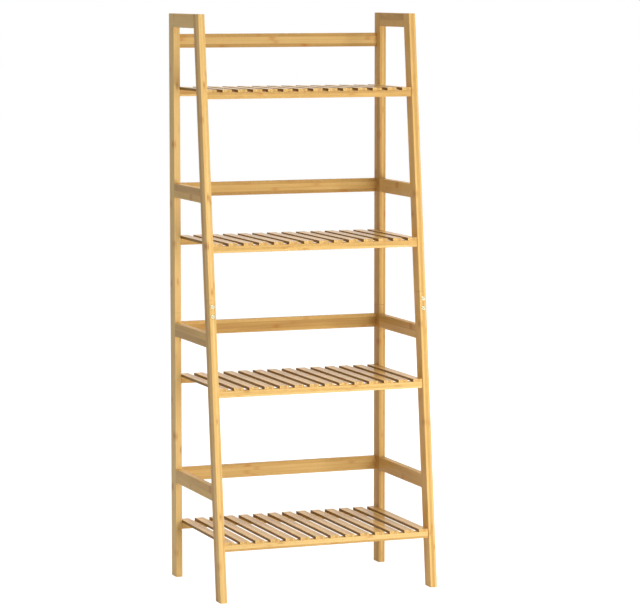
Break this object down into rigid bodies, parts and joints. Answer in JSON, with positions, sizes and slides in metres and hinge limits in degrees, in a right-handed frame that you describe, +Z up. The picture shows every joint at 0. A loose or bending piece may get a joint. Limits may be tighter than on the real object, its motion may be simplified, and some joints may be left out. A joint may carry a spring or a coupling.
{
  "type": "bamboo shelving rack",
  "caption": "Free-standing bamboo rack with slatted shelves between upright rear legs and front legs that lean back, the shelves growing deeper towards the floor.",
  "frame": {"origin": "on the floor, at the centre of the rack's overall box", "axes": "+X towards the rack's right as seen from the front, +Y from front to back, +Z up"},
  "size_m": [0.495, 0.3382, 1.235],
  "materials": {
    "leg_bamboo": "clear satin lacquer on laminated bamboo",
    "rail_bamboo": "clear satin lacquer on laminated bamboo",
    "slat_bamboo": "clear gloss lacquer on bamboo strips",
    "bolt_steel": "bright nickel-plated",
    "insert_brass": "plain"
  },
  "bodies": {
    "root": {"left_front_leg_lower": "leg_bamboo", "left_front_leg_upper": "leg_bamboo", "left_rear_leg_lower": "leg_bamboo", "left_rear_leg_upper": "leg_bamboo", "left_top_rail": "rail_bamboo", "left_side_rail_1": "rail_bamboo", "left_side_rail_2": "rail_bamboo", "left_side_rail_3": "rail_bamboo", "right_front_leg_lower": "leg_bamboo", "right_front_leg_upper": "leg_bamboo", "right_rear_leg_lower": "leg_bamboo", "right_rear_leg_upper": "leg_bamboo", "right_top_rail": "rail_bamboo", "right_side_rail_1": "rail_bamboo", "right_side_rail_2": "rail_bamboo", "right_side_rail_3": "rail_bamboo", "back_rail_1": "rail_bamboo", "shelf_1_front_rail": "rail_bamboo", "shelf_1_rear_rail": "rail_bamboo", "shelf_1_slats": "slat_bamboo", "back_rail_2": "rail_bamboo", "shelf_2_front_rail": "rail_bamboo", "shelf_2_rear_rail": "rail_bamboo", "shelf_2_slats": "slat_bamboo", "back_rail_3": "rail_bamboo", "shelf_3_front_rail": "rail_bamboo", "shelf_3_rear_rail": "rail_bamboo", "shelf_3_slats": "slat_bamboo", "back_rail_4": "rail_bamboo", "shelf_4_front_rail": "rail_bamboo", "shelf_4_rear_rail": "rail_bamboo", "shelf_4_slats": "slat_bamboo", "leg_bolts": "bolt_steel", "leg_inserts": "insert_brass"}
  },
  "joints": []
}
